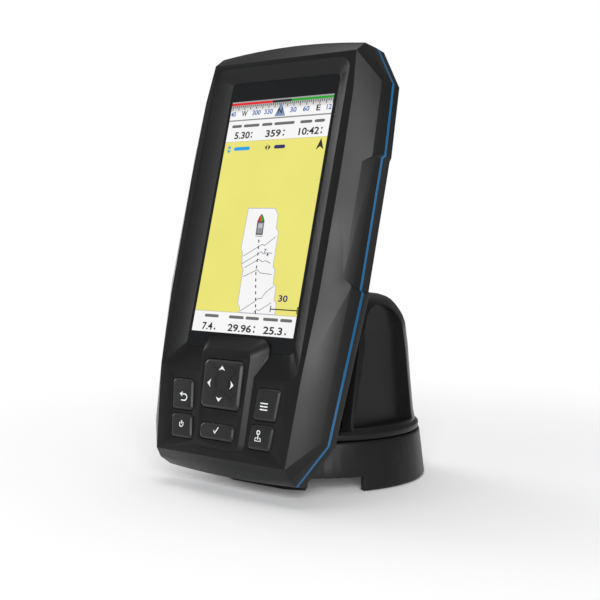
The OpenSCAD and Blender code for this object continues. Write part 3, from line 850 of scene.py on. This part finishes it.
def boat(art):
    """The boat seen from above, with its port and starboard bows."""
    sides = [(2.5, -8.9), (-1.2, -8.8), (-1.5, -2.5), (-0.8, -0.7)]
    art.shape([(0.2, 0.4), (1.3, -0.8), (2.2, -2.4)] + sides, HULL, 4)
    art.shape([(0.15, 0.0), (-0.75, -1.1), (-1.2, -2.6), (0.3, -2.8)], RED, 5)
    art.shape([(0.15, 0.0), (0.3, -2.8), (1.9, -2.5), (1.15, -1.0)], GREEN, 5)
    art.box(-0.9, -7.6, 2.0, -3.2, DECK, 5)
    art.box(-0.6, -5.4, 1.7, -3.6, CABIN, 6)
    art.box(-1.2, -8.7, 2.4, -8.1, grey(232), 6)


def chart(art, land, water):
    """Land, the channel, its depth lines, the boat and the scale bar."""
    art.box(-HALF_WIDTH, -39.1, HALF_WIDTH, 30.6, land, 1)
    art.shape(CHANNEL, water, 2)
    art.stroke(CHANNEL, 0.28, LAND_EDGE, 3, closed=True)
    for line in CONTOURS:
        art.stroke(line, 0.24, DEPTH_LINE, 4)
    art.figures("7", (5.3, -14.5), (1.2, 1.7), NAVY, 5)
    art.figures("4", (6.8, -15.9), (1.2, 1.4), NAVY, 5)
    boat(art)
    art.box(13.1, -37.2, 26.7, -36.75, INK, 6)
    art.box(12.95, -38.2, 13.4, -35.6, INK, 6)
    art.box(26.3, -38.2, 26.75, -35.6, INK, 6)
    art.figures("30", (18.6, -32.7), (4.6, 2.6), NAVY, 6)
    for turn in (1, -1):
        foot, tip = 27.4 + 0.3 * turn, 27.4 + 1.7 * turn
        art.shape([(-25.2, foot), (-23.0, foot), (-24.1, tip)], SKY, 3)
        foot, tip = -3.0 + 0.35 * turn, -3.0 + 1.5 * turn
        art.shape([(foot, 28.6), (foot, 26.2), (tip, 27.4)], INK, 3)
    caption_bar(art, -21.4, -12.6, 26.7, SKY, 3, 1.5)
    caption_bar(art, 0.4, 6.2, 26.7, NAVY, 3, 1.5)
    art.shape([(24.0, 30.0), (25.9, 25.4), (24.0, 26.7)], INK, 3)
    art.shape([(24.0, 30.0), (24.0, 26.7), (22.1, 25.4)], INK, 3)


def lifted(layer):
    """How far in front of the lens each layer of the picture lies."""
    return LENS_FRONT - PICTURE_LIFT - LAYER_STEP * layer


# ---------- the keys' printed marks ----------


def on_key(points, top):
    """Head x and z to keypad x and z, on a key whose top is at this depth."""
    sine, cosine = math.sin(KEYPAD_SLOPE), math.cos(KEYPAD_SLOPE)
    return [(x, (z - KEYPAD_ORIGIN[2] - sine * top) / cosine) for x, z in points]


def arrowhead(tip, direction, size):
    """A notched arrowhead with its tip at this point."""
    along = Vector(direction)
    across = Vector((-along.y, along.x))
    tip = Vector(tip)
    corners = [
        tip, tip - along * size * 0.56 + across * size * 0.5,
        tip - along * size * 0.4, tip - along * size * 0.56 - across * size * 0.5,
    ]
    return [tuple(c) for c in corners]


def pad_marks(top, _stroke):
    """Four filled arrowheads."""
    art = Artwork()
    tips = {(0, 1): (0, -60.9), (0, -1): (0, -74.5), (-1, 0): (-6.9, -67.8), (1, 0): (6.9, -67.8)}
    for way, tip in tips.items():
        art.shape(on_key(arrowhead(tip, way, ARROW_SIZE), top), WHITE, 0)
    return art


def back_marks(top, stroke):
    art = Artwork()
    bend = arc((-20.5, -74.4), 1.2, 90, -90, 12)
    line = [(-22.3, -73.2), (-20.5, -73.2)] + bend + [(-22.3, -75.6)]
    art.stroke(on_key(line, top), stroke, WHITE, 0)
    art.shape(on_key([(-23.5, -73.2), (-21.9, -74.2), (-21.9, -72.2)], top), WHITE, 0)
    return art


def power_marks(top, stroke):
    art = Artwork()
    art.stroke(on_key(arc((-20.6, -84.8), 1.0, 50, -230, 24), top), stroke * 0.8, WHITE, 0)
    art.stroke(on_key([(-20.6, -83.3), (-20.6, -84.8)], top), stroke * 0.8, WHITE, 0)
    return art


def menu_marks(top, stroke):
    art = Artwork()
    for z in (-72.8, -73.95, -75.1):
        art.stroke(on_key([(19.5, z), (23.2, z)], top), stroke, WHITE, 0)
    return art


def mark_marks(top, stroke):
    art = Artwork()
    ring = on_key(arc((20.1, -83.6), 0.72, 0, 337.5, 15), top)
    art.stroke(ring, stroke * 0.85, WHITE, 0, closed=True)
    art.stroke(on_key([(20.1, -84.3), (20.1, -86.1)], top), stroke * 0.85, WHITE, 0)
    foot = [(19.6, -85.6), (18.9, -85.6), (18.7, -86.7)]
    foot += [(21.5, -86.7), (21.3, -85.6), (20.6, -85.6)]
    art.stroke(on_key(foot, top), stroke * 0.6, WHITE, 0)
    return art


def select_marks(top, stroke):
    art = Artwork()
    art.stroke(on_key([(-1.1, -85.3), (-0.3, -86.3), (1.3, -84.0)], top), stroke * 0.85, WHITE, 0)
    return art


KEY_MARKS = {
    "four_way_pad": (pad_marks, PAD_TOP),
    "select_key": (select_marks, SELECT_TOP),
    "back_key": (back_marks, SIDE_KEY_TOP),
    "power_key": (power_marks, SIDE_KEY_TOP),
    "menu_key": (menu_marks, SIDE_KEY_TOP),
    "mark_key": (mark_marks, SIDE_KEY_TOP),
}


def pad_ridges():
    """Moulded wavy ridges between the pad's arrows."""
    lines = [
        [(-5.2, -60.9), (-1.8, -63.8), (-3.4, -65.8), (-2.1, -69.2)],
        [(4.4, -61), (6.9, -63), (4, -66), (4.2, -69), (6.9, -71.4)]
        + [(5.9, -73.8), (3.9, -72.1), (1.4, -70.4), (-1.7, -70.7), (-3.9, -72.8)],
    ]
    art = Artwork()
    for line in lines:
        art.stroke(on_key(line, PAD_TOP), 0.3, BLACK, 0)
    return art


# ---------- stage ----------

FLOOR_RADIUS = 40
FLOOR_GAP = 0.0002
FADE_START = 0.06
FADE_END = 0.32
FILL_STRENGTH = 0.2

# Place, point aimed at, width, height, watts
SOFTBOXES = {
    "overhead_softbox": ((-0.2, 0.15, 1.1), (0, 0, 0.05), 0.8, 0.8, 5),
    "left_softbox": ((-1.0, 0.12, 0.3), (0, 0, 0.1), 0.5, 0.6, 5),
    "front_softbox": ((0.78, -0.86, 0.38), (0, 0, 0.1), 0.6, 0.76, 19),
}


def aimed(place, way):
    """The matrix of a camera or lamp at this place that faces this way."""
    turn = Vector(way).to_track_quat("-Z", "Y").to_matrix().to_4x4()
    return Matrix.Translation(place) @ turn


# ---------- operators ----------


class CHARTPLOTTER_OT_housing(bpy.types.Operator):
    """Bezel, accent band, seal and rear cover"""

    bl_idname = "chartplotter.housing"
    bl_label = "Housing"
    bl_options = {"REGISTER", "UNDO"}

    def execute(self, context):
        housing = context.scene.chartplotter.housing
        front, back = housing.bezel_round, housing.cover_round
        rounded("bezel_moulding", "front_bezel", "shell", "head_shell", "head", front)
        edge = 0.12 * MM
        rounded("band_moulding", "accent_band", "band", "accent_blue", "head", edge, segments=2)
        rounded("cover_moulding", "rear_cover", "shell", "head_shell", "head", back)
        recoat("housing_seal", "black_rubber")
        return {"FINISHED"}


class CHARTPLOTTER_OT_screen(bpy.types.Operator):
    """Cover lens, the lit panel behind it and its picture"""

    bl_idname = "chartplotter.screen"
    bl_label = "Screen"
    bl_options = {"REGISTER", "UNDO"}

    def execute(self, context):
        screen = context.scene.chartplotter.screen
        recoat("cover_lens", "lens")
        recoat("lens_adhesive", "black_rubber")
        recoat("lcd_panel", "panel")
        recoat("backlight", "white_film")
        art = Artwork()
        data_rows(art)
        chart(art, tuple(screen.land), tuple(screen.water))
        mesh = art.mesh("screen_picture", lifted, LAYER_THICKNESS)
        picture = settled("screen_picture", mesh, "picture", "head", HEAD)
        picture.visible_glossy = False
        picture.visible_diffuse = False
        ticks = ticks_pattern(INK).made([(-26.0, lifted(3), 45.75)])
        settled("compass_ticks", ticks, "picture", "head", HEAD)
        points = [(x, lifted(5), z) for x, z in TRACK]
        edges = [(i, i + 1) for i in range(len(points) - 1)]
        dashes = dashes_pattern(INK).made(points, edges)
        settled("track_dashes", dashes, "picture", "head", HEAD)
        return {"FINISHED"}


class CHARTPLOTTER_OT_keys(bpy.types.Operator):
    """Key caps, the four-way pad, and the rubber under them"""

    bl_idname = "chartplotter.keys"
    bl_label = "Keys"
    bl_options = {"REGISTER", "UNDO"}

    def execute(self, context):
        edge = context.scene.chartplotter.keys.edge_round
        for node in KEY_MARKS:
            rounded(node + "_cap", node, "key", "key_rubber", node, edge)
        for node in ("keypad_mat", "pad_rocker"):
            recoat(node, "grey_rubber")
        recoat("key_domes", "stainless")
        recoat("keypad_board", "board")
        return {"FINISHED"}


class CHARTPLOTTER_OT_key_marks(bpy.types.Operator):
    """Marks printed on the keys, and the ridges of the pad"""

    bl_idname = "chartplotter.key_marks"
    bl_label = "Key marks"
    bl_options = {"REGISTER", "UNDO"}

    def execute(self, context):
        stroke = context.scene.chartplotter.keys.stroke / MM
        for node, (draw, top) in KEY_MARKS.items():
            art = draw(top, stroke)
            mesh = art.mesh(node + "_mark", lambda layer: top - INK_LIFT, INK_THICKNESS)
            settled(node + "_mark", mesh, "ink", node, KEYPAD)
        art = pad_ridges()
        ridges = art.mesh("pad_ridges", lambda layer: PAD_TOP - RIDGE_LIFT, RIDGE_THICKNESS)
        settled("pad_ridges", ridges, "key", "four_way_pad", KEYPAD)
        return {"FINISHED"}


class CHARTPLOTTER_OT_back(bpy.types.Operator):
    """Socket, vent and screws on the back of the head"""

    bl_idname = "chartplotter.back"
    bl_label = "Back fittings"
    bl_options = {"REGISTER", "UNDO"}

    def execute(self, context):
        for name, node in (("power_socket_shell", "power_socket"), ("vent_cap", "vent_plug")):
            rounded(name, node, "socket", "socket_black", "head", FITTING_ROUND)
        recoat("socket_pins", "brass")
        recoat("socket_seal", "black_rubber")
        screws = screws_pattern()
        for node, length in (("housing_screws", 7.4), ("bracket_screws", 4.4)):
            boxes = loose_parts(node, HEAD)
            tops = [((low.x + high.x) / 2, high.y, (low.z + high.z) / 2) for low, high in boxes]
            mesh = screws.made(tops, radius=0.14, Shank_length=length)
            settled(node + "_set", mesh, "stainless", "head", HEAD, [node])
        return {"FINISHED"}


class CHARTPLOTTER_OT_inside(bpy.types.Operator):
    """Tray, boards and what is on them"""

    bl_idname = "chartplotter.inside"
    bl_label = "Inside"
    bl_options = {"REGISTER", "UNDO"}

    def execute(self, context):
        coats = {
            "display_tray": "tinned", "display_ribbon": "film", "main_board": "board",
            "shield_can": "tinned", "processor": "chip", "gps_antenna": "antenna",
            "sounder": "chip", "sonar_transformer": "ferrite", "board_screws": "stainless",
        }
        for node, key in coats.items():
            recoat(node, key)
        return {"FINISHED"}


class CHARTPLOTTER_OT_tilt(bpy.types.Operator):
    """Bracket, pin, washers and release latch of the tilt hinge"""

    bl_idname = "chartplotter.tilt"
    bl_label = "Tilt hinge"
    bl_options = {"REGISTER", "UNDO"}

    def execute(self, context):
        rounded("bracket_moulding", "hinge_bracket", "mount", "mount_nylon", "head", 0.5 * MM)
        rounded("latch_button", "release_latch", "socket", "socket_black", "latch", 0.3 * MM)
        recoat("hinge_pin", "stainless")
        recoat("tilt_washers", "acetal")
        boxes = loose_parts("latch_spring", HEAD)
        feet = [((low.x + high.x) / 2, (low.y + high.y) / 2, low.z + 0.12) for low, high in boxes]
        mesh = coils_pattern().made(feet)
        springs = settled(
            "latch_coils", mesh, "stainless", "head", HEAD, ["latch_spring"]
        )
        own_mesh(springs)
        return {"FINISHED"}


class CHARTPLOTTER_OT_mount(bpy.types.Operator):
    """Pedestal, base and swivel fittings"""

    bl_idname = "chartplotter.mount"
    bl_label = "Mount"
    bl_options = {"REGISTER", "UNDO"}

    def execute(self, context):
        edge = context.scene.chartplotter.mount.edge_round
        rounded("pedestal_moulding", "pedestal", "mount", "mount_nylon", "turret", edge)
        rounded("base_moulding", "mount_base", "mount", "mount_nylon", "base", edge)
        recoat("base_pad", "black_rubber")
        recoat("swivel_washer", "acetal")
        recoat("swivel_retainer", "stainless")
        recoat("swivel_screw", "stainless")
        return {"FINISHED"}


class CHARTPLOTTER_OT_stage(bpy.types.Operator):
    """Camera, floor, background and studio lights"""

    bl_idname = "chartplotter.stage"
    bl_label = "Stage"
    bl_options = {"REGISTER", "UNDO"}

    def execute(self, context):
        self.camera(context.scene, context.scene.chartplotter.stage)
        self.floor(context)
        self.background(context.scene)
        for name, box in SOFTBOXES.items():
            self.light(context.scene, name, *box)
        return {"FINISHED"}

    def camera(self, scene, stage):
        lens = bpy.data.cameras.new("camera")
        lens.lens = stage.focal
        lens.sensor_width = 36
        lens.clip_start = 0.01
        lens.clip_end = 100
        camera = bpy.data.objects.new("camera", lens)
        camera.matrix_world = aimed(stage.eye, stage.aim)
        scene.collection.objects.link(camera)
        scene.camera = camera
        scene.view_settings.view_transform = "Standard"

    def light(self, scene, name, place, target, width, height, watts):
        lamp = bpy.data.lights.new(name, "AREA")
        lamp.shape = "RECTANGLE"
        lamp.size = width
        lamp.size_y = height
        lamp.energy = watts
        holder = bpy.data.objects.new(name, lamp)
        holder.matrix_world = aimed(place, Vector(target) - Vector(place))
        holder.visible_camera = False
        scene.collection.objects.link(holder)

    def floor(self, context):
        """A wide pale floor that fades to white away from the object."""
        bpy.ops.mesh.primitive_circle_add(vertices=96, radius=FLOOR_RADIUS, fill_type="NGON")
        plate = context.object
        plate.name = "studio_floor"
        plate.data.transform(Matrix.Translation((0, 0, -FLOOR_GAP)))
        paint = Finish(
            "floor_paint", (0.93, 0.93, 0.93), 0.6,
            Specular_IOR_Level=0.2, Emission_Color=(1, 1, 1, 1), Emission_Strength=0.04,
        )
        glow = paint.add("ShaderNodeEmission", Color=(1, 1, 1, 1), Strength=1.0)
        reach = paint.add("ShaderNodeVectorMath", {"operation": "LENGTH"})
        paint.join(reach.inputs[0], paint.coords)
        fade = paint.add(
            "ShaderNodeMapRange", {"interpolation_type": "SMOOTHSTEP"},
            Value=reach.outputs["Value"], From_Min=FADE_START, From_Max=FADE_END,
        )
        mix = paint.add("ShaderNodeMixShader", Fac=fade.outputs["Result"])
        paint.join(mix.inputs[1], paint.shader.outputs["BSDF"])
        paint.join(mix.inputs[2], glow.outputs["Emission"])
        paint.join(paint.tree.nodes["Material Output"].inputs["Surface"], mix.outputs["Shader"])
        plate.data.materials.append(paint.material)

    def background(self, scene):
        """White to the camera, and a low even light to the object."""
        world = bpy.data.worlds.new("studio")
        world.use_nodes = True
        scene.world = world
        tree = NodeTree(world.node_tree)
        seen = tree.tree.nodes["Background"]
        seen.inputs["Color"].default_value = (1, 1, 1, 1)
        seen.inputs["Strength"].default_value = 1.0
        fill = tree.add("ShaderNodeBackground", Color=(1, 1, 1, 1), Strength=FILL_STRENGTH)
        path = tree.add("ShaderNodeLightPath")
        mix = tree.add("ShaderNodeMixShader", Fac=path.outputs["Is Camera Ray"])
        tree.join(mix.inputs[1], fill.outputs["Background"])
        tree.join(mix.inputs[2], seen.outputs["Background"])
        tree.join(tree.tree.nodes["World Output"].inputs["Surface"], mix.outputs["Shader"])


# ---------- settings, panel and registration ----------


def group(name, kind):
    return bpy.props.PointerProperty(type=kind, name=name, description=kind.__doc__)


class ChartplotterSettings(bpy.types.PropertyGroup):
    """All settings of the chartplotter"""

    housing: group("Housing", HousingSettings)
    screen: group("Screen", ScreenSettings)
    keys: group("Keys", KeySettings)
    mount: group("Mount", MountSettings)
    stage: group("Stage", StageSettings)


OPERATORS = (
    CHARTPLOTTER_OT_housing,
    CHARTPLOTTER_OT_screen,
    CHARTPLOTTER_OT_keys,
    CHARTPLOTTER_OT_key_marks,
    CHARTPLOTTER_OT_back,
    CHARTPLOTTER_OT_inside,
    CHARTPLOTTER_OT_tilt,
    CHARTPLOTTER_OT_mount,
    CHARTPLOTTER_OT_stage,
)


class CHARTPLOTTER_PT_sidebar(bpy.types.Panel):
    """Lists the pieces of the chartplotter and their settings"""

    bl_idname = "CHARTPLOTTER_PT_sidebar"
    bl_label = "Chartplotter display"
    bl_space_type = "VIEW_3D"
    bl_region_type = "UI"
    bl_category = "Chartplotter"

    def draw(self, context):
        settings = context.scene.chartplotter
        for operator in OPERATORS:
            self.layout.operator(operator.bl_idname)
        for part in (
            settings.housing, settings.screen, settings.keys, settings.mount, settings.stage
        ):
            box = self.layout.box()
            for name in part.__annotations__:
                box.prop(part, name)


CLASSES = (
    HousingSettings,
    ScreenSettings,
    KeySettings,
    MountSettings,
    StageSettings,
    ChartplotterSettings,
    *OPERATORS,
    CHARTPLOTTER_PT_sidebar,
)


def register():
    for item in CLASSES:
        bpy.utils.register_class(item)
    bpy.types.Scene.chartplotter = bpy.props.PointerProperty(
        type=ChartplotterSettings, name="Chartplotter", description="Settings of the chartplotter"
    )


def unregister():
    del bpy.types.Scene.chartplotter
    for item in reversed(CLASSES):
        bpy.utils.unregister_class(item)


def main():
    register()
    for operator in OPERATORS:
        group, name = operator.bl_idname.split(".")
        getattr(getattr(bpy.ops, group), name)()


if __name__ == "__main__":
    main()
